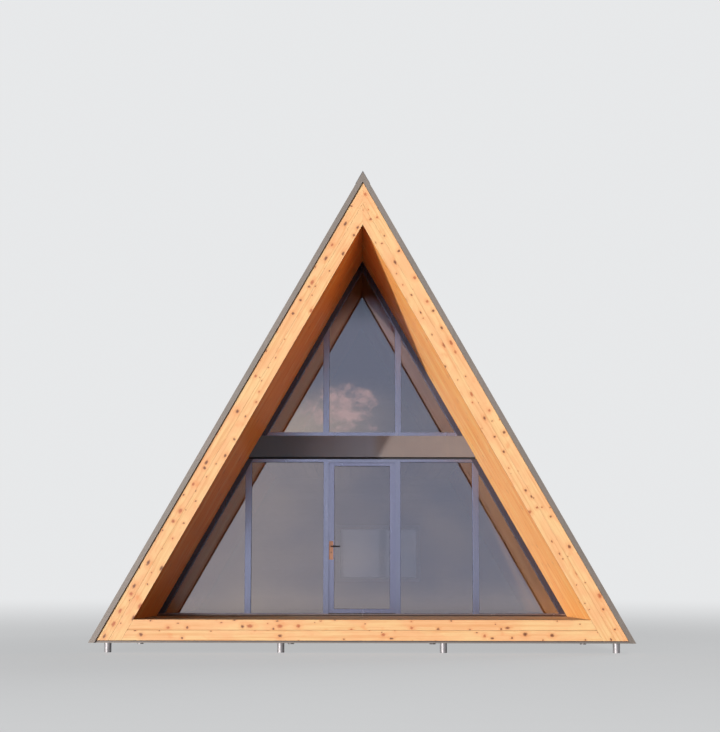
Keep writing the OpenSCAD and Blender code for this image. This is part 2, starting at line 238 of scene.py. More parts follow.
# Scales are in waves a metre along and across a board, and those of the knots are in each wood. A
# tone comes in between two levels of its noise. Knot, heart and halo are discs, each from its rim
# to where it is full, in radii of the knot.
grain = {
    "rings": 0.9, "ringBend": 0.012, "fibres": (6, 150), "patches": (2.6, 6), "stains": (5.5, 7),
    "patchLevels": (0.38, 0.62), "dyeLevels": (0.15, 0.95), "ringLevels": (0.46, 0.72),
    "fibreLevels": (0.5, 0.78), "stainLevels": (0.62, 0.8), "redLevels": (0.84, 0.92),
    "knotScatter": 0.95, "knotLeastLong": 0.6, "knotMoreLong": 1.1, "ragged": 0.17,
    "rags": (55, 80), "discs": ((1.0, 0.3), (0.6, 0.2), (2.6, 0.8)), "haloCover": 0.3,
    "knotCover": 0.9, "heartCover": 0.6,
}


def boardFinish(name, look):
    # planed boards on their own UV map: growth rings, fibres, knots, and a tone for each board. A
    # share of the Voronoi cells holds a knot; gap is the distance to the cell's centre, shortened
    # or stretched along the board, with a ragged edge, and halo, knot and heart are discs of it
    f = newFinish(name)
    along, across, _ = f.split(f.node("ShaderNodeUVMap", {"uv_map": "boards"}, {}))
    number = f.math("FLOOR", along / boardStep)
    dye = f.chance(number)
    spot = f.point(along * look["knotsAlong"], across * look["knotsAcross"] + dye * 40, 0)
    cell = f.node("ShaderNodeTexVoronoi", {"voronoi_dimensions": "2D"}, {
        "Vector": spot, "Scale": 1.0, "Randomness": grain["knotScatter"]})
    luck, bigness, redness = f.splitColour(cell.other("Color"))
    size = bigness * bigness
    radius = (size * look["knotRange"] + look["knotLeast"]) * f.step(
        luck, look["knotShare"], look["knotShare"] - 0.02)
    red = f.step(redness + size * 0.5, *grain["redLevels"])
    awayAlong, awayAcross, _ = f.split(f.node("ShaderNodeVectorMath", {"operation": "SUBTRACT"}, {
        0: spot, 1: cell.other("Position")}))
    awayAlong = awayAlong * (luck * grain["knotMoreLong"] + grain["knotLeastLong"])
    rags = f.noise(f.point(along * grain["rags"][0], across * grain["rags"][1], number), 2.0)
    gap = f.length(f.point(awayAlong, awayAcross, 0)) + rags * grain["ragged"] - grain["ragged"] / 2
    knot, heart, halo = (f.step(gap, radius * rim, radius * full) for rim, full in grain["discs"])
    bent = across + halo * grain["ringBend"]
    rings = f.noise(f.point(along * grain["rings"], bent * look["ringsAcross"], number * 7.3),
                    3.0, 0.55, 0.5)
    fibres = f.noise(f.point(along * grain["fibres"][0], bent * grain["fibres"][1], number),
                     3.0, 0.6)
    patches = f.noise(f.point(along * grain["patches"][0], across * grain["patches"][1],
                              number * 3.7), 2.0)
    stains = f.noise(f.point(along * grain["stains"][0], across * grain["stains"][1],
                             number * 2.3 + 9), 2.0)
    wood = f.mix(f.step(patches, *grain["patchLevels"]), look["pale"], look["rosy"])
    wood = f.mix(f.step(dye, *grain["dyeLevels"]) * look["toneShare"], wood, look["toned"])
    wood = f.mix(f.step(rings, *grain["ringLevels"]) * look["ringShare"], wood, look["ring"])
    wood = f.mix(f.step(fibres, *grain["fibreLevels"]) * look["fibreShare"], wood, look["ring"])
    wood = f.mix(f.step(stains, *grain["stainLevels"]) * look["stainShare"], wood, look["halo"])
    wood = f.mix(halo * grain["haloCover"], wood, look["halo"])
    wood = f.mix(knot * grain["knotCover"], wood, f.mix(red, look["knot"], look["redKnot"]))
    wood = f.mix(heart * (1 - red) * grain["heartCover"], wood, look["heart"])
    return f.close({
        "Base Color": wood,
        "Roughness": look["rough"] + rings * 0.12 - knot * 0.1,
        "Normal": f.bump(rings * 0.5 + fibres * 0.35 - knot * 0.6, 0.35, 0.0012),
    })


pine = {
    "pale": paint(226, 190, 138), "rosy": paint(225, 167, 122), "toned": paint(218, 171, 114),
    "toneShare": 0.45, "ring": paint(204, 138, 80), "ringShare": 0.55, "fibreShare": 0.3,
    "halo": paint(213, 130, 74), "stainShare": 0.6, "knot": paint(124, 68, 34),
    "redKnot": paint(168, 88, 46), "heart": paint(84, 46, 26), "rough": 0.52,
    "knotsAlong": 5.6, "knotsAcross": 7.2, "knotShare": 0.84, "knotLeast": 0.065,
    "knotRange": 0.19, "ringsAcross": 34,
}
rightLining = {
    "pale": paint(254, 203, 128), "rosy": paint(253, 185, 108), "toned": paint(250, 177, 96),
    "toneShare": 0.75, "ring": paint(230, 131, 54), "ringShare": 0.7, "fibreShare": 0.4,
    "halo": paint(236, 136, 58), "stainShare": 0.5, "knot": paint(150, 78, 44),
    "redKnot": paint(190, 96, 50), "heart": paint(90, 50, 32), "rough": 0.46,
    "knotsAlong": 3.6, "knotsAcross": 7.2, "knotShare": 0.3, "knotLeast": 0.06,
    "knotRange": 0.08, "ringsAcross": 26,
}
# The left lining, which lies in shade, is a redder copy of the right one: painted warm light bounced
# off the lit lining
leftLiningPaintedBounce = {
    **rightLining, "pale": paint(254, 194, 120), "rosy": paint(253, 175, 99),
    "toned": paint(250, 167, 87), "ring": paint(230, 123, 48), "halo": paint(236, 128, 52),
}
deck = {
    "pale": paint(181, 157, 122), "rosy": paint(168, 140, 107), "toned": paint(154, 130, 101),
    "toneShare": 0.7, "ring": paint(124, 100, 76), "ringShare": 0.6, "fibreShare": 0.3,
    "halo": paint(122, 96, 72), "stainShare": 0.5, "knot": paint(92, 66, 50),
    "redKnot": paint(110, 74, 54), "heart": paint(60, 46, 38), "rough": 0.62,
    "knotsAlong": 3.2, "knotsAcross": 7.2, "knotShare": 0.25, "knotLeast": 0.05,
    "knotRange": 0.085, "ringsAcross": 30,
}
pineBoards = boardFinish("pineBoards", pine)
liningBoards = {"left": boardFinish("liningBoardsLeftPaintedBounce", leftLiningPaintedBounce),
                "right": boardFinish("liningBoardsRight", rightLining)}
deckWood = boardFinish("deckWood", deck)

# Waves a metre in a coat, the levels of its noises between which a tone comes in, and over how
# many metres its painted shade fades out
coatGrain = {
    "mottle": (1.4, 1.4, 1.4), "runs": (16, 16, 0.8), "peel": (900, 900, 900), "paintedShadeFade": 0.25,
    "mottleLevels": (0.3, 0.7), "dustLevels": (0.52, 0.8), "dullLevels": (0.5, 0.8),
}


def coatFinish(name, look):
    # powder-coated sheet: fine orange peel, soft mottling, and dust that runs down it. A painted
    # shade lies to the left of paintedShadeTo, deeper further left, and what is below the top of a
    # band is in that band's colour; on the frames and the beam the lowest band is painted shade
    f = newFinish(name)
    x, y, z = f.place()
    mottle = f.noise(f.waves((x, y, z), coatGrain["mottle"]), 4.0, 0.6)
    runs = f.noise(f.waves((x, y, z), coatGrain["runs"]), 2.0, 0.5)
    peel = f.noise(f.waves((x, y, z), coatGrain["peel"]), 2.0)
    coat = f.mix(f.step(mottle, *coatGrain["mottleLevels"]), look["colour"], look["mottled"])
    coat = f.mix(f.step(runs, *coatGrain["dustLevels"]) * look["dustShare"], coat, look["dust"])
    # painted shade: a bluish grey to the left, deeper further left
    if "bloomAndPaintedShade" in look:
        deep = f.step(x, look["deepFrom"], look["deepTo"])
        shown = f.step(x, look["paintedShadeTo"], look["paintedShadeTo"] - coatGrain["paintedShadeFade"])
        coat = f.mix(shown, coat, f.mix(deep, look["bloomAndPaintedShade"], look["deepPaintedShade"]))
    for top, colour in look.get("bands", ()):
        coat = f.mix(f.step(z, top + 0.001, top), coat, colour)
    dull = f.step(runs, *coatGrain["dullLevels"]) * look["dustShare"]
    return f.close({
        "Base Color": coat, "Metallic": look["metal"],
        "Roughness": look["rough"] + mottle * 0.08 + dull * 0.3,
        "Normal": f.bump(peel * 0.2 + mottle, 0.06, 0.002),
    })


frameCoat = {
    "colour": paint(130, 133, 156), "mottled": paint(125, 128, 152), "dust": paint(135, 135, 151),
    "dustShare": 0.15, "metal": 0.96, "rough": 0.2,
    # below 0.43 m the coat is dark: painted shade where the frames meet the deck. The band up to
    # 0.4445 m is the sill's own greyer colour. The other frame coats share both bands
    "bands": ((0.4445, paint(142, 128, 127)), (0.43, paint(88, 74, 68))),
}
# The sloping bars get a darker copy of the frame coat: painted shade from the linings over them
shadedSlopeCoat = {
    **frameCoat, "colour": paint(74, 74, 90), "mottled": paint(68, 68, 84),
    "dust": paint(82, 80, 92), "dustShare": 0.1, "metal": 0.75, "rough": 0.22,
}
doorCoat = {**frameCoat, "colour": paint(129, 131, 155), "mottled": paint(124, 126, 151)}
sillCoat = {
    **frameCoat, "colour": paint(134, 122, 126), "mottled": paint(128, 116, 120),
    "dust": paint(134, 126, 130),
}
hingeCoat = {**frameCoat, "metal": 0.8, "rough": 0.3}
beamCoat = {
    "colour": paint(113, 104, 102), "mottled": paint(107, 98, 97), "dust": paint(124, 112, 106),
    # below 2.6705 m the beam is near black: painted shade in the recess under it
    "dustShare": 0.3, "metal": 0.12, "rough": 0.5, "bands": ((2.6705, paint(40, 37, 42)),),
    # the bluish grey to the left is painted shade under the left roof, deeper further left
    "bloomAndPaintedShade": paint(119, 124, 138), "paintedShadeTo": 0.33,
    "deepPaintedShade": paint(96, 118, 145), "deepFrom": -0.5, "deepTo": -1.25,
}
trimCoat = {
    "colour": paint(122, 112, 105), "mottled": paint(115, 107, 100), "dust": paint(134, 124, 115),
    "dustShare": 0.35, "metal": 0.3, "rough": 0.38,
}
roofCoat = {
    "colour": paint(82, 82, 86), "mottled": paint(74, 74, 79), "dust": paint(108, 106, 104),
    "dustShare": 0.4, "metal": 0.25, "rough": 0.4,
}
windowCoat = {
    "colour": paint(226, 226, 228), "mottled": paint(214, 214, 218), "dust": paint(198, 192, 184),
    "dustShare": 0.3, "metal": 0.0, "rough": 0.32,
}
rubber = {
    "colour": paint(52, 52, 60), "mottled": paint(44, 44, 52), "dust": paint(84, 82, 84),
    "dustShare": 0.3, "metal": 0.0, "rough": 0.6,
}
framePaint = coatFinish("framePaint", frameCoat)
shadedSlopePaint = coatFinish("shadedSlopePaint", shadedSlopeCoat)
doorPaint = coatFinish("doorPaint", doorCoat)
sillPaint = coatFinish("sillPaint", sillCoat)
hingePaint = coatFinish("hingePaint", hingeCoat)
beamPaint = coatFinish("beamPaint", beamCoat)
trimPaint = coatFinish("trimPaint", trimCoat)
roofPaint = coatFinish("roofPaint", roofCoat)
windowPaint = coatFinish("windowPaint", windowCoat)
sealRubber = coatFinish("sealRubber", rubber)


def zincFinish(name, look):
    # hot-dip zinc: flat crystals of slightly different grey, with white bloom
    f = newFinish(name)
    places = f.place()
    spangle = f.node("ShaderNodeTexVoronoi", {}, {
        "Vector": f.waves(places, look["spangles"]), "Scale": 1.0}, "Color")
    shade = f.splitColour(spangle)[0]
    bloomAndPaintedShade = f.noise(f.waves(places, look["blooms"]), 4.0, 0.6)
    grey = f.mix(shade, look["dark"], look["light"])
    grey = f.mix(f.step(bloomAndPaintedShade, *look["bloomLevels"]) * look["bloomShare"], grey, look["bloomAndPaintedShade"])
    return f.close({"Base Color": grey, "Metallic": look["metal"],
                    "Roughness": look["rough"] + bloomAndPaintedShade * 0.15,
                    "Normal": f.bump(shade + bloomAndPaintedShade, 0.15, 0.001)})


zincLook = {
    "dark": paint(127, 124, 126), "light": paint(150, 146, 149), "bloomAndPaintedShade": paint(162, 157, 158),
    "bloomShare": 0.6, "bloomLevels": (0.5, 0.72), "metal": 0.55, "rough": 0.42,
    "spangles": (70, 70, 70), "blooms": (9, 9, 5),
}
zinc = zincFinish("zinc", zincLook)


def planksFinish(name, look):
    # plain interior boards on Object coordinates, with a fine dark joint every pitch
    f = newFinish(name)
    places = dict(zip("xyz", f.place()))
    over, run = places[look["over"]] / look["pitch"], places[look["run"]]
    row = f.math("FLOOR", over)
    near = f.math("PINGPONG", over, 0.5)
    joint = f.step(near, look["joint"], look["joint"] * 0.4)
    rings = f.noise(f.point(run * look["ringsAlong"], over * look["rings"], row * 5.1),
                    3.0, 0.55, 0.4)
    wood = f.mix(f.chance(row), look["pale"], look["toned"])
    wood = f.mix(f.step(rings, *look["ringLevels"]) * look["ringShare"], wood, look["ring"])
    wood = f.mix(joint, wood, look["seam"])
    return f.close({"Base Color": wood, "Roughness": look["rough"] + rings * 0.1,
                    "Normal": f.bump(rings * 0.3 - joint * 2, 0.4, 0.0015)})


roomBoards = {
    "over": "x", "run": "y", "pitch": 0.19, "joint": 0.02, "rings": 6, "ringsAlong": 1.2,
    "ringLevels": (0.48, 0.75), "ringShare": 0.5, "rough": 0.5, "pale": paint(168, 160, 152),
    "toned": paint(150, 143, 137), "ring": paint(128, 120, 114), "seam": paint(70, 66, 64),
}
loftBoards = {
    **roomBoards, "pale": paint(222, 186, 140), "toned": paint(208, 170, 124),
    "ring": paint(184, 140, 96), "seam": paint(110, 80, 56),
}
wallBoards = {
    **roomBoards, "over": "z", "run": "x", "pitch": 0.14, "rings": 4, "pale": paint(200, 186, 171),
    "toned": paint(195, 181, 166), "ring": paint(190, 176, 161), "seam": paint(176, 162, 148),
}
roughTimber = {
    **roomBoards, "over": "y", "run": "x", "pitch": 1.2, "joint": 0.004, "rings": 36,
    "rough": 0.75, "pale": paint(206, 172, 128), "toned": paint(196, 158, 114),
    "ring": paint(166, 126, 86), "seam": paint(96, 72, 52),
}
roomWood = planksFinish("roomWood", roomBoards)
loftWood = planksFinish("loftWood", loftBoards)
wallWood = planksFinish("wallWood", wallBoards)
coreWood = planksFinish("coreWood", roughTimber)


def glassFinish(name, look):
    # sealed unit: part mirror, part clear. Its tint is a painted reflection of the surroundings:
    # bluish high up and to the right, and warmer to the left and low down in uneven patches, where a
    # thin uneven film also roughens it. The painted reflection is bluer again along the left slope
    # and dark under the ridge, with a ragged painted reflection of a cloud on the loft's panes
    f = newFinish(name)
    x, y, z = f.place()
    filmAndReflection = f.noise(f.waves((x, y, z), look["filmAndReflection"], look["filmAndReflectionShift"]), 3.0, 0.5)
    # down and aside place the warm painted reflection low and to the left
    down = f.step(z, look["warmReflectionTop"], look["warmReflectionLow"])
    aside = f.step(x, look["warmReflectionRight"], look["warmReflectionLeft"])
    loft = f.step(z, look["loftFrom"], look["loftTo"])
    foot = f.step(z, look["footTop"], look["footLow"])
    share = down * (look["evenWarm"] + aside * (look["leftWarm"] + look["loftWarm"] * loft)
                    + (filmAndReflection - 0.5) * look["patchyReflectionWarm"]) + look["footWarm"] * foot
    pane = f.mix(f.math("MAXIMUM", share, 0.0), look["cool"], look["warm"])
    rags = f.noise(f.waves((x, y, z), look["rags"], look["ragsShift"]), 5.0, 0.62)
    fromPaintedCloud = f.length(f.point((x - look["paintedCloudX"]) * look["paintedCloudThin"], 0,
                                 (z - look["paintedCloudZ"]) * look["paintedCloudFlat"]))
    paintedCloud = f.step(fromPaintedCloud + (rags - 0.5) * look["ragged"], look["paintedCloudRim"], look["paintedCloudFull"])
    # painted reflection of a cloud, on the loft's panes
    pane = f.mix(paintedCloud * loft * look["paintedCloudShare"], pane, look["paintedCloud"])
    # the left slope is where x = z / tan(pitch) less the roof's half width at the ground
    fromSlope = x - z / math.tan(cabin["pitch"]) + slopeX(0.0, 0.0)
    # painted reflection: the panes are bluer along the left slope
    pane = f.mix(f.step(fromSlope, look["slopeTo"], look["slopeFrom"]), pane, look["slope"])
    # painted reflection: the panes are dark under the ridge
    ridge = f.step(z, look["ridgeFrom"], look["ridgeTo"])
    pane = f.mix(ridge * look["ridgeShare"], pane, look["ridge"])
    specks = f.noise(f.waves((x, y, z), look["specks"]), 3.0, 0.6)
    return f.close({"Base Color": pane, "Metallic": 1.0,
                    "Roughness": 0.02 + filmAndReflection * 0.02 + f.step(specks, 0.6, 0.8) * 0.03,
                    "Alpha": look["solid"]})


# The glass's colours are a painted reflection: cool and warm, the patches, the cloud, the slope and
# the ridge
glassLook = {
    "cool": (0.283, 0.302, 0.404, 1), "warm": (0.675, 0.578, 0.54, 1), "solid": 0.45,
    "specks": (60, 60, 60), "filmAndReflection": (1.1, 1.1, 1.3), "filmAndReflectionShift": 0.35,
    "warmReflectionTop": 3.9, "warmReflectionLow": 3.1, "warmReflectionLeft": -1.2, "warmReflectionRight": 0.8,
    "loftFrom": 2.7, "loftTo": 2.9, "footTop": 1.0, "footLow": 0.45, "evenWarm": 0.12,
    "leftWarm": 0.33, "loftWarm": 0.6, "patchyReflectionWarm": 0.5, "footWarm": 0.3,
    "paintedCloud": (0.94, 0.67, 0.67, 1), "paintedCloudShare": 0.75, "paintedCloudX": -0.27, "paintedCloudZ": 3.4,
    "paintedCloudThin": 2.3, "paintedCloudFlat": 2.9, "paintedCloudRim": 1.25, "paintedCloudFull": 0.05,
    "rags": (4.6, 1, 6.4), "ragsShift": 0.4, "ragged": 3.4,
    "slope": (0.6, 0.79, 0.95, 1), "slopeFrom": 0.2, "slopeTo": 0.325,
    "ridge": (0.095, 0.125, 0.175, 1), "ridgeShare": 0.85, "ridgeFrom": 4.5, "ridgeTo": 5.0,
}
glass = glassFinish("glass", glassLook)
# the rear window's glass has the same painted reflection, and is more solid
rearGlass = glassFinish("rearGlass", {**glassLook, "solid": 0.85})


brushing = {"lines": (25, 25, 2200), "spots": (40, 40, 40), "spotLevels": (0.5, 0.75)}


def brushedFinish(name, look):
    # metal with fine lines from side to side, and worn spots
    f = newFinish(name)
    places = f.place()
    lines = f.noise(f.waves(places, brushing["lines"]), 3.0, 0.6)
    spots = f.noise(f.waves(places, brushing["spots"]), 4.0, 0.6)
    tone = f.mix(lines, look["colour"], look["light"])
    tone = f.mix(f.step(spots, *brushing["spotLevels"]) * look["wear"], tone, look["worn"])
    return f.close({"Base Color": tone, "Metallic": look["metal"],
                    "Roughness": look["rough"] + lines * 0.15,
                    "Normal": f.bump(lines, 0.2, 0.0004)})


copperLook = {
    "colour": paint(146, 104, 82), "light": paint(160, 116, 94), "metal": 0.7,
    "worn": paint(128, 86, 68), "wear": 0.3, "rough": 0.28,
}
leverLook = {
    "colour": paint(34, 31, 33), "light": paint(46, 42, 44), "metal": 0.4,
    "worn": paint(96, 88, 84), "wear": 0.25, "rough": 0.24,
}
copper = brushedFinish("copper", copperLook)
blackLever = brushedFinish("blackLever", leverLook)
print("finishes made")

# CAD nodes that keep their shape
cadFinish = {
    "piles": zinc, "base_rails": trimPaint, "floor_bearers": coreWood, "floor_cassette": coreWood,
    "roof_panel_left": coreWood, "roof_panel_right": coreWood, "room_floor": roomWood,
    "loft_floor": loftWood, "roof_sheet_left": roofPaint, "roof_sheet_right": roofPaint,
    "ridge_cap": roofPaint, "verge_trim_left": trimPaint, "verge_trim_right": trimPaint,
    "eaves_trims": trimPaint, "front_beam": beamPaint, "slope_bars": shadedSlopePaint,
    "mullions": framePaint, "glazing_rails": framePaint, "door_posts": framePaint,
    "door_lips": framePaint, "door_threshold": sillPaint, "hinge_pins": hingePaint,
    "hinge_knuckles": hingePaint, "door_stiles": doorPaint, "door_rails": doorPaint,
    "lower_glass": glass, "upper_glass": glass, "door_glass": glass, "window_glass": rearGlass,
    "handle_plates": copper, "door_lever": blackLever, "rear_wall_sides": wallWood,
    "rear_wall_under": wallWood, "rear_wall_over": wallWood, "window_stiles": windowPaint,
    "window_rails": windowPaint,
}
for name, finish in cadFinish.items():
    nodes[name].data.materials.clear()
    nodes[name].data.materials.append(finish)
print("CAD nodes dressed:", len(cadFinish))

# The six sides of a prism by its corners: 0 to 3 are at its low end and 4 to 7 at its high end
prismCorners = 8
prismSides = np.array([[0, 1, 2, 3], [7, 6, 5, 4], [0, 4, 5, 1], [1, 5, 6, 2], [2, 6, 7, 3],
                       [3, 7, 4, 0]])


def prisms(outlines, yLow, yHigh):
    # each outline of four points in x and z is carried from yLow to yHigh: a corner is
    # (outline x, y, outline z), and an outline of negative area is turned round first
    outlines = np.asarray(outlines, float)
    count = len(outlines)
    onward = np.roll(outlines, -1, 1)
    area = np.sum(outlines[:, :, 0] * onward[:, :, 1] - onward[:, :, 0] * outlines[:, :, 1], 1)
    outlines = np.where(area[:, None, None] < 0, outlines[:, ::-1], outlines)
    ends = np.stack([np.broadcast_to(yLow, count), np.broadcast_to(yHigh, count)], 1)
    corners = np.empty((count, 2, 4, 3))
    corners[..., 0] = outlines[:, None, :, 0]
    corners[..., 2] = outlines[:, None, :, 1]
    corners[..., 1] = ends[:, :, None]
    faces = prismSides[None] + prismCorners * np.arange(count)[:, None, None]
    return corners.reshape(-1, 3), faces.reshape(-1, 4).tolist()


def meshOf(name, points, faces, finish, body="", slot=""):
    mesh = bpy.data.meshes.new(name)
    mesh.from_pydata(points.tolist(), [], faces)
    mesh.materials.append(finish)
    piece = bpy.data.objects.new(name, mesh)
    bpy.context.scene.collection.objects.link(piece)
    if body:
        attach(piece, body)
    return piece


def soften(piece, width, segments=2):
    bevel = piece.modifiers.new("softEdges", "BEVEL")
    bevel.width = width
    bevel.segments = segments
    bevel.limit_method = "ANGLE"
    bevel.angle_limit = math.radians(30)


def boardMap(piece, run, side):
    # u is the way along the board, plus boardStep for each board before it and half a step so that
    # it is never below 0; v is the way across and through the board
    mesh = piece.data
    points = np.empty(len(mesh.vertices) * 3)
    mesh.vertices.foreach_get("co", points)
    points = points.reshape(-1, 3)
    corner = np.empty(len(mesh.loops), int)
    mesh.loops.foreach_get("vertex_index", corner)
    u = points @ run + (np.arange(len(points)) // prismCorners + 0.5) * boardStep
    v = points @ side + points @ np.cross(run, side)
    layer = mesh.uv_layers.new(name="boards")
    layer.data.foreach_set("uv", np.stack([u, v], 1)[corner].ravel())


def boards(name, outlines, yLow, yHigh, run, side, finish, slot, edge, replaced=""):
    # run points along the boards and side across them
    piece = meshOf(name, *prisms(outlines, yLow, yHigh), finish, "cabin", slot)
    boardMap(piece, run, side)
    soften(piece, edge)
    if replaced:
        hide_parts(replaced)


def layerQuad(inner, outer, low, ridge, mirror):
    # outline of a layer of one roof, from height low up to x = ridge near the middle
    quad = np.array([[slopeX(inner, low), low], [slopeX(outer, low), low],
                     [ridge, slopeZ(outer, ridge)], [ridge, slopeZ(inner, ridge)]])
    return quad * (mirror, 1)


def spanQuad(off, low, high):
    # outline from slope to slope, between two heights
    return [[-slopeX(off, low), low], [slopeX(off, low), low],
            [slopeX(off, high), high], [-slopeX(off, high), high]]


# Two verge boards side by side along each slope, at the front and at the rear
vergeSet = {"seam": 0.0012, "mitre": 0.0002, "edge": 0.0012}
vergeMiddle = (cabin["vergeIn"] + cabin["vergeOut"]) / 2
vergeLayers = ((cabin["vergeIn"], vergeMiddle - vergeSet["seam"] / 2),
               (vergeMiddle + vergeSet["seam"] / 2, cabin["vergeOut"]))
for side, mirror, run in roofSides:
    quads = [layerQuad(*layer, cabin["baseZ"], vergeSet["mitre"], mirror) for layer in vergeLayers]
    boards("vergeBoards" + side.title(), quads * 2,
           np.repeat([-cabin["boardY"], cabin["coreY"]], 2),
           np.repeat([-cabin["coreY"], cabin["boardY"]], 2),
           run, np.cross(alongY, run), pineBoards, "pine_boards", vergeSet["edge"],
           "verge_boards_" + side)

# Two fascia boards, one over the other, between the verge boards
fasciaSet = {"seam": 0.004, "fit": 0.001, "edge": 0.003}
fasciaMiddle = (cabin["baseZ"] + cabin["floorZ"]) / 2
fasciaOff = cabin["vergeIn"] - fasciaSet["fit"]
fasciaQuads = [spanQuad(fasciaOff, cabin["baseZ"], fasciaMiddle - fasciaSet["seam"] / 2),
               spanQuad(fasciaOff, fasciaMiddle + fasciaSet["seam"] / 2, cabin["floorZ"])]
for end, near, far in (("front", -cabin["boardY"], -cabin["coreY"]),
                       ("rear", cabin["coreY"], cabin["boardY"])):
    boards(end + "Fascia", fasciaQuads, near, far, alongX, alongZ, pineBoards, "pine_boards",
           fasciaSet["edge"], end + "_fascia")

# Lining boards that run up the slope
liningSet = {"boards": 54, "joint": 0.0006, "mitre": 0.0003, "edge": 0.0045}
liningRows = np.linspace(-cabin["coreY"], cabin["coreY"], liningSet["boards"] + 1)
for side, mirror, run in roofSides:
    quad = layerQuad(0.0, cabin["liningThick"], cabin["baseZ"], liningSet["mitre"], mirror)
    boards("lining" + side.title(), np.repeat(quad[None], liningSet["boards"], 0),
           liningRows[:-1] + liningSet["joint"] / 2, liningRows[1:] - liningSet["joint"] / 2,
           run, alongY, liningBoards[side], "pine_lining", liningSet["edge"], "lining_" + side)

# Deck boards of the porch, and of the ledge behind the rear wall
deckSet = {"porchBoards": 15, "ledgeBoards": 2, "gap": 0.006, "fit": 0.004, "edge": 0.003}
porchRows = np.linspace(-cabin["coreY"], cabin["glazingY"], deckSet["porchBoards"] + 1)
ledgeRows = np.linspace(cabin["wallBackY"], cabin["coreY"], deckSet["ledgeBoards"] + 1)
lowRows = np.concatenate([porchRows[:-1], ledgeRows[:-1]]) + deckSet["gap"] / 2
highRows = np.concatenate([porchRows[1:], ledgeRows[1:]]) - deckSet["gap"] / 2
deckLow, deckHigh = nodeBox("porch_deck")
deckQuad = np.array(spanQuad(-deckSet["fit"], deckLow[2], deckHigh[2]))
boards("deckBoards", np.repeat(deckQuad[None], len(lowRows), 0), lowRows, highRows, alongX, alongY,
       deckWood, "deck_boards", deckSet["edge"], "porch_deck")
print("boards laid")


def rectangle(left, right, low, high):
    return np.array([[left, low], [right, low], [right, high], [left, high]], float)


def nodeRectangle(name, out=0.0):
    # a node's outline seen from the front, moved out all round
    low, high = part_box(name)
    return rectangle(low[0] - out, high[0] + out, low[2] - out, high[2] + out)


# Upright boards on the outside of the rear wall, cut round the window, with a surround. The
# outermost board is leastHigh at its outer edge.
rearSet = {
    "pitch": 0.15, "joint": 0.002, "thick": 0.018, "fit": 0.006, "edge": 0.003, "foot": 0.008,
    "leastHigh": 0.012, "cutFrom": 0.01, "surroundWide": 0.07, "surroundThick": 0.015,
    "away": 0.0005,
}
(windowLeft, windowLow), (windowRight, windowHigh) = nodeRectangle("window_stiles")[[0, 2]]


def rearQuads():
    # board n runs from n to n + 1 pitches out from the middle; its top follows the roof's slope
    low = cabin["floorZ"] + rearSet["foot"]
    outer = slopeX(-rearSet["fit"], low + rearSet["leastHigh"])
    edges = np.append(np.arange(0, outer, rearSet["pitch"]), outer)
    near, far = edges[:-1] + rearSet["joint"] / 2, edges[1:] - rearSet["joint"] / 2
    quads = []
    for mirror in (-1, 1):
        for a, b in zip(near, far):
            tops = slopeZ(-rearSet["fit"], a), slopeZ(-rearSet["fit"], b)
            left, right = sorted((a * mirror, b * mirror))
            cut = left > windowLeft - rearSet["cutFrom"] and right < windowRight + rearSet["cutFrom"]
            parts = [(low, windowLow, windowLow)] if cut else []
            parts.append((windowHigh if cut else low, *tops))
            quads += [[[a * mirror, bottom], [b * mirror, bottom], [b * mirror, farTop],
                       [a * mirror, nearTop]] for bottom, nearTop, farTop in parts]
    return quads


def ringQuads(outline, width):
    # four-sided strips, mitred at the corners, along the inside of a convex outline; a corner of
    # the inner line is where the two edges next to it, each moved in by width, cross
    outline = np.asarray(outline, float)
    onward = np.roll(outline, -1, 0)
    if np.sum(outline[:, 0] * onward[:, 1] - onward[:, 0] * outline[:, 1]) < 0:
        outline = outline[::-1]
    way = np.roll(outline, -1, 0) - outline
    way /= np.linalg.norm(way, axis=1)[:, None]
    inward = np.stack([-way[:, 1], way[:, 0]], 1)
    reach = np.sum(inward * outline, 1) + width
    before, level = np.roll(inward, 1, 0), np.roll(reach, 1)
    cross = before[:, 0] * inward[:, 1] - before[:, 1] * inward[:, 0]
    inner = np.stack([(level * inward[:, 1] - reach * before[:, 1]) / cross,
                      (before[:, 0] * reach - inward[:, 0] * level) / cross], 1)
    return np.stack([outline, np.roll(outline, -1, 0), np.roll(inner, -1, 0), inner], 1)


wallFace = cabin["wallBackY"] + rearSet["away"]
boardFace = wallFace + rearSet["thick"]
boards("rearCladding", rearQuads(), wallFace, boardFace, alongZ, alongX, pineBoards, "pine_boards",
       rearSet["edge"])
surround = ringQuads(nodeRectangle("window_stiles", rearSet["surroundWide"]), rearSet["surroundWide"])
boards("windowSurround", surround, boardFace, boardFace + rearSet["surroundThick"], alongX, alongZ,
       pineBoards, "pine_boards", rearSet["edge"])
print("rear wall boarded")

# Dark rubber strips between the fascias and the base rails, at the front and at the rear; their
# darkness is painted shade for the line under the fascias
baseSealAndShade = {"tall": 0.011, "face": 0.0015, "thick": 0.0024, "inset": 0.002, "edge": 0.0006}
sealQuad = spanQuad(cabin["vergeOut"] - baseSealAndShade["inset"], cabin["baseZ"] - baseSealAndShade["tall"],
                    cabin["baseZ"])
sealOut = cabin["boardY"] - baseSealAndShade["face"]
sealIn = sealOut - baseSealAndShade["thick"]
piece = meshOf("baseSealsAndShade", *prisms([sealQuad] * 2, [-sealOut, sealIn], [-sealIn, sealOut]),
               sealRubber, "cabin", "trim_metal")
soften(piece, baseSealAndShade["edge"], 1)


def clip(outline, direction, reach):
    # part of a convex outline where point . direction <= reach
    kept = []
    for p, q in zip(outline, np.roll(outline, -1, 0)):
        a, b = p @ direction - reach, q @ direction - reach
        if a <= 0:
            kept.append(p)
        if a * b < 0:
            kept.append(p + (q - p) * (a / (a - b)))
    return np.array(kept)


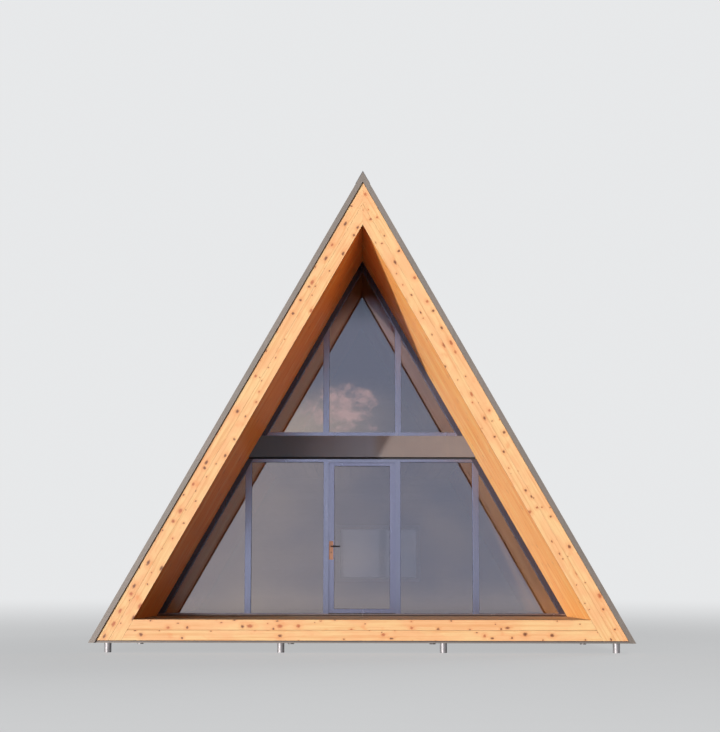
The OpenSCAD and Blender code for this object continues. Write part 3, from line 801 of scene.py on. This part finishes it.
# Beads round every pane, front and back, with a rubber line between bead and glass; the sloping
# frame bars end a hair's breadth inside their nominal face, and the panes below them too
sealSet = {"wide": 0.002, "high": 0.004, "beadWide": 0.005, "beadHigh": 0.014, "edge": 0.001,
           "hair": 0.00005}


def underBars(outline):
    # what is left of a pane under the sloping frame bars
    for mirror in (1, -1):
        direction = np.array([mirror * math.sin(cabin["pitch"]), math.cos(cabin["pitch"])])
        edge = mirror * slopeX(-cabin["slopeBar"] - sealSet["hair"], cabin["floorZ"]), cabin["floorZ"]
        outline = clip(outline, direction, direction @ edge)
    return outline


def fixedPanes():
    # the loft's middle pane, and then three pairs from the middle outwards and upwards; each is
    # first a rectangle that reaches past the slope
    floorPane = cabin["sillTopZ"], cabin["headZ"]
    loftPane = cabin["loftSillTopZ"], slopeZ(0.0, 0.0)
    panes = [rectangle(-cabin["loftMullionX"], cabin["loftMullionX"], *loftPane)]
    for near, far, levels in (
            (cabin["postOuterX"], cabin["mullionOuterX"] - cabin["mullionWide"], floorPane),
            (cabin["mullionOuterX"], cabin["halfRoom"], floorPane),
            (cabin["loftMullionX"] + cabin["loftMullionWide"], cabin["halfRoom"], loftPane)):
        panes += [rectangle(near, far, *levels), rectangle(-far, -near, *levels)]
    return [underBars(pane) for pane in panes]


paneSets = (
    ("fixed", fixedPanes(), "lower_glass", "cabin", framePaint, "frame_metal"),
    ("door", [nodeRectangle("door_glass")], "door_glass", "door", doorPaint, "frame_metal"),
    ("window", [nodeRectangle("window_glass")], "window_glass", "cabin", windowPaint, "window_paint"),
)
for setName, panes, node, body, bead, slot in paneSets:
    faceY, backY = (corner[1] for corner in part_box(node))
    beadFace = sealSet["high"] + sealSet["beadHigh"]
    for part, width, nearest, farthest, finish in (
            ("Seal", sealSet["beadWide"] + sealSet["wide"], 0.0, sealSet["high"], sealRubber),
            ("Bead", sealSet["beadWide"], sealSet["high"], beadFace, bead)):
        quads = np.concatenate([ringQuads(pane, width) for pane in panes])
        for end, low, high in (("Front", faceY - farthest, faceY - nearest),
                               ("Back", backY + nearest, backY + farthest)):
            piece = meshOf(setName + part + end, *prisms(quads, low, high), finish, body, slot)
            soften(piece, sealSet["edge"], 1)
print("panes sealed")

# A dome head is a few rings of points, from its foot up, with a crown: each ring has a share of
# the head's radius and stands at a share of its height
dome = {"around": 10, "wide": np.cos(np.radians([0.0, 0.0, 35.0, 65.0])),
        "rise": np.array([0.0, 0.35, 0.8, 0.97])}


def heads(name, centres, away, radius, height, finish, slot, body):
    # point j of a ring lies at the angle j / around of a full turn; the crown comes after the
    # rings, and after it the middle of the foot
    around, ringCount = dome["around"], len(dome["rise"])
    crown = around * ringCount
    centres, away = np.asarray(centres, float), np.asarray(away, float)
    away = away / np.linalg.norm(away)
    one = np.cross(away, alongX if abs(away[0]) < 0.9 else alongZ)
    one /= np.linalg.norm(one)
    two = np.cross(away, one)
    turn = np.linspace(0, 2 * math.pi, around, endpoint=False)
    ring = np.cos(turn)[:, None] * one + np.sin(turn)[:, None] * two
    rings = ring[None] * (radius * dome["wide"])[:, None, None]
    rings = rings + (height * dome["rise"])[:, None, None] * away
    shape = np.concatenate([rings.reshape(-1, 3), [away * height], [away * 0.0]])
    k, j = np.meshgrid(np.arange(ringCount - 1) * around, np.arange(around), indexing="ij")
    onward = (j + 1) % around
    sides = np.stack([k + j, k + onward, k + around + onward, k + around + j], -1).reshape(-1, 4)
    last = crown - around
    top = np.stack([last + j[0], last + onward[0], np.full(around, crown)], 1)
    foot = np.stack([onward[0], j[0], np.full(around, crown + 1)], 1)
    start = len(shape) * np.arange(len(centres))[:, None, None]
    faces = [(part[None] + start).reshape(-1, part.shape[1]).tolist() for part in (sides, top, foot)]
    points = (centres[:, None] + shape[None]).reshape(-1, 3)
    meshOf(name, points, faces[0] + faces[1] + faces[2], finish, body, slot)


# Screws along the lower edges of the ridge cap, whose flaps reach so far down each slope
capScrews = {"pitch": 0.47, "first": 0.235, "last": 3.85, "radius": 0.008, "height": 0.005,
             "flap": 0.19, "upFromFoot": 0.035}
screwX = (capScrews["flap"] - capScrews["upFromFoot"]) * math.cos(cabin["pitch"])
screwY = np.arange(capScrews["first"], capScrews["last"], capScrews["pitch"])
screwY = np.concatenate([-screwY, screwY])
for side, mirror, _ in roofSides:
    centres = np.stack([np.full(len(screwY), mirror * screwX), screwY,
                        np.full(len(screwY), slopeZ(cabin["capOut"], screwX))], 1)
    away = mirror * math.sin(cabin["pitch"]), 0, math.cos(cabin["pitch"])
    heads("capScrews" + side.title(), centres, away, capScrews["radius"], capScrews["height"],
          zinc, "roof_metal", "cabin")

# Two screws and a lock cylinder on each handle plate, measured from the plate's ends
handle = {"screwIn": 0.014, "screw": 0.0045, "screwHigh": 0.002, "lock": 0.0095, "lockHigh": 0.003,
          "lockDown": 0.159}
plateLow, plateHigh = np.array(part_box("handle_plates"))
plateX = (plateLow[0] + plateHigh[0]) / 2
screwZ = plateLow[2] + handle["screwIn"], plateHigh[2] - handle["screwIn"]
lockZ = plateHigh[2] - handle["lockDown"]
for end, y, away in (("Front", plateLow[1], -alongY), ("Back", plateHigh[1], alongY)):
    heads("plateScrews" + end, [(plateX, y, z) for z in screwZ], away, handle["screw"],
          handle["screwHigh"], copper, "copper_plate", "door")
    heads("lockCylinder" + end, [(plateX, y, lockZ)], away, handle["lock"], handle["lockHigh"],
          blackLever, "lever_metal", "door")
print("fixings set")

stage = {
    "radius": 150.0, "points": 96, "floor": (0.42, 0.42, 0.417, 1), "patch": (0.38, 0.38, 0.377, 1),
    "patches": 3, "background": (0.80, 0.81, 0.82, 1), "nearClear": 0.6, "clearFrom": 6.0,
    "clearTo": 90.0,
}


def floorFinish():
    # pale floor that keeps the cabin's shadow and runs out into the background's colour: clear
    # grows with the logarithm of the distance from the middle
    f = newFinish("floorPale")
    x, y, _ = f.place()
    distance = f.length(f.point(x, y, 0))
    patches = f.noise(f.point(x * stage["patches"], y * stage["patches"], 0), 3.0)
    surface = f.node("ShaderNodeBsdfDiffuse", {}, {
        "Color": f.mix(patches, stage["floor"], stage["patch"])})
    glow = f.node("ShaderNodeEmission", {}, {"Color": stage["background"], "Strength": 1.0})
    far = f.step(f.math("LOGARITHM", distance + 1, math.e),
                 math.log(stage["clearFrom"]), math.log(stage["clearTo"]))
    clear = (far * (1 - stage["nearClear"]) + stage["nearClear"]) * f.surroundings()
    return f.end("ShaderNodeOutputMaterial",
                 f.node("ShaderNodeMixShader", {}, {0: clear, 1: surface, 2: glow}))


turn = np.linspace(0, 2 * math.pi, stage["points"], endpoint=False)
rim = np.stack([np.cos(turn), np.sin(turn), turn * 0], 1) * stage["radius"]
meshOf("floor", rim, [list(range(stage["points"]))], floorFinish())

fill = {"colour": (0.96, 0.99, 1.04, 1), "strength": 0.05}
# Angles in degrees: fromLeft turns a lamp round from the front towards the left, height is how
# high it stands, and soft is how wide it is
lamps = {
    "keyLamp": {"strength": 3.45, "colour": (1.0, 0.955, 0.9), "fromLeft": 39.6, "height": 1.8,
                "soft": 1.5},
    "broadLamp": {"strength": 1.42, "colour": (0.94, 0.98, 1.06), "fromLeft": 27.0, "height": 10.0,
                  "soft": 36.0},
    "sideLamp": {"strength": 0.4, "colour": (1.0, 0.97, 0.94), "fromLeft": 58.0, "height": 4.0,
                 "soft": 20.0},
    "backLamp": {"strength": 2.0, "colour": (1.0, 1.0, 1.0), "fromLeft": 215.0, "height": 22.0,
                 "soft": 40.0},
}


def lightWorld():
    # the fill lights the cabin, and the background is only seen
    f = Finish(bpy.data.worlds.new("studio"))
    light = f.node("ShaderNodeBackground", {}, {0: fill["colour"], 1: fill["strength"]})
    seen = f.node("ShaderNodeBackground", {}, {0: stage["background"], 1: 1.0})
    bpy.context.scene.world = f.end("ShaderNodeOutputWorld", f.node(
        "ShaderNodeMixShader", {}, {0: f.surroundings(), 1: light, 2: seen}))


def hangLamp(name, look):
    data = bpy.data.lights.new(name, "SUN")
    data.energy = look["strength"]
    data.color = look["colour"]
    data.angle = math.radians(look["soft"])
    lamp = bpy.data.objects.new(name, data)
    lamp.rotation_euler = (math.radians(90 - look["height"]), 0, math.radians(-look["fromLeft"]))
    bpy.context.scene.collection.objects.link(lamp)


lightWorld()
for name, look in lamps.items():
    hangLamp(name, look)
bpy.context.scene.view_settings.view_transform = "Standard"
print("stage lit")
